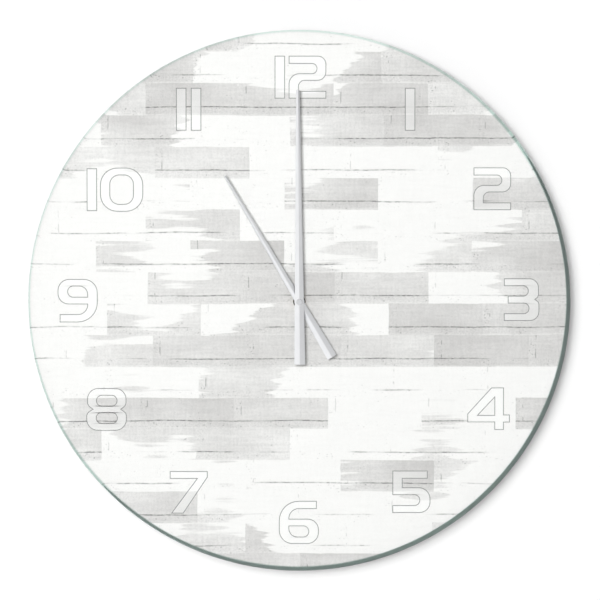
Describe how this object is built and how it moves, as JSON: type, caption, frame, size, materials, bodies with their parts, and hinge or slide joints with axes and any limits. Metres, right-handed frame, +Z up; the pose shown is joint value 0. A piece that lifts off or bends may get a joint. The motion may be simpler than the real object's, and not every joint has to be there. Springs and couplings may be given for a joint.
{
  "type": "wall clock",
  "caption": "Frameless round glass wall clock with a printed dial, two ridged hands and a quartz movement whose wheels mesh inside its case.",
  "frame": {"origin": "on the axis of the hands, in the plane of the wall that the movement's back and the two spacers rest on", "axes": "+X to the dial's right as seen by a viewer, +Y into the wall, +Z up towards twelve; the dial faces -Y"},
  "size_m": [0.3, 0.0254, 0.3],
  "materials": {
    "glass": "clear float glass with a faint green edge, polished",
    "print": "printed film of whitewashed brick with outlined numerals",
    "foam": "double-sided foam tape",
    "spacer_rubber": "matt translucent grey",
    "black_plastic": "fine moulded texture",
    "white_plastic": "natural acetal",
    "amber_plastic": "tinted acetal",
    "steel": "bright rolled steel",
    "brass": "turned",
    "copper": "enamelled copper wire",
    "magnet": "sintered",
    "board": "solder mask",
    "epoxy": "cast epoxy",
    "cell_jacket": "plain jacket with no printing",
    "hand_metal": "white satin lacquer"
  },
  "bodies": {
    "clock_body": {"glass_disc": "glass", "print_film": "print", "adhesive_pad": "foam", "spacer_left": "spacer_rubber", "spacer_right": "spacer_rubber", "movement_case": "black_plastic", "movement_cover": "black_plastic", "train_plate": "white_plastic", "hanger": "steel", "cell": "cell_jacket", "contact_positive": "steel", "contact_negative": "steel", "circuit_board": "board", "crystal_can": "steel", "chip": "epoxy", "stator": "steel", "coil_core": "steel", "coil_bobbin": "white_plastic", "coil_winding": "copper"},
    "minute": {"minute_arbor": "brass", "minute_hand": "hand_metal", "hand_cap": "hand_metal"},
    "hour": {"hour_wheel": "amber_plastic", "hour_hand": "hand_metal"},
    "setting": {"setting_wheel": "white_plastic", "setting_knob": "black_plastic"},
    "second": {"second_wheel": "white_plastic"},
    "centre": {"centre_wheel": "white_plastic"},
    "third": {"third_wheel": "amber_plastic"},
    "intermediate": {"intermediate_wheel": "amber_plastic"},
    "rotor": {"rotor_magnet": "magnet", "rotor_pinion": "white_plastic"}
  },
  "joints": [
    {"name": "minute_turn", "type": "hinge", "parent": "clock_body", "child": "minute", "pos_m": [0, -0.015, 0], "axis": [0, 1, 0], "continuous": true},
    {"name": "hour_turn", "type": "hinge", "parent": "clock_body", "child": "hour", "pos_m": [0, -0.015, 0], "axis": [0, 1, 0], "continuous": true},
    {"name": "setting_turn", "type": "hinge", "parent": "clock_body", "child": "setting", "pos_m": [0.0096, -0.006, 0], "axis": [0, 1, 0], "continuous": true},
    {"name": "second_turn", "type": "hinge", "parent": "clock_body", "child": "second", "pos_m": [0, -0.0045, 0], "axis": [0, 1, 0], "continuous": true},
    {"name": "centre_turn", "type": "hinge", "parent": "clock_body", "child": "centre", "pos_m": [0, -0.008, 0], "axis": [0, 1, 0], "continuous": true},
    {"name": "third_turn", "type": "hinge", "parent": "clock_body", "child": "third", "pos_m": [-0.00837, -0.006, 0.00148], "axis": [0, 1, 0], "continuous": true},
    {"name": "intermediate_turn", "type": "hinge", "parent": "clock_body", "child": "intermediate", "pos_m": [-0.00146, -0.003, 0.00827], "axis": [0, 1, 0], "continuous": true},
    {"name": "rotor_turn", "type": "hinge", "parent": "clock_body", "child": "rotor", "pos_m": [-0.00146, -0.005, 0.01427], "axis": [0, 1, 0], "continuous": true}
  ],
  "couplings": [
    {"joint": "setting_turn", "follows": "minute_turn", "ratio": -0.33333},
    {"joint": "hour_turn", "follows": "minute_turn", "ratio": 0.083333},
    {"joint": "intermediate_turn", "follows": "second_turn", "ratio": -6},
    {"joint": "rotor_turn", "follows": "second_turn", "ratio": 30},
    {"joint": "third_turn", "follows": "second_turn", "ratio": -0.13333},
    {"joint": "centre_turn", "follows": "second_turn", "ratio": 0.016667}
  ]
}
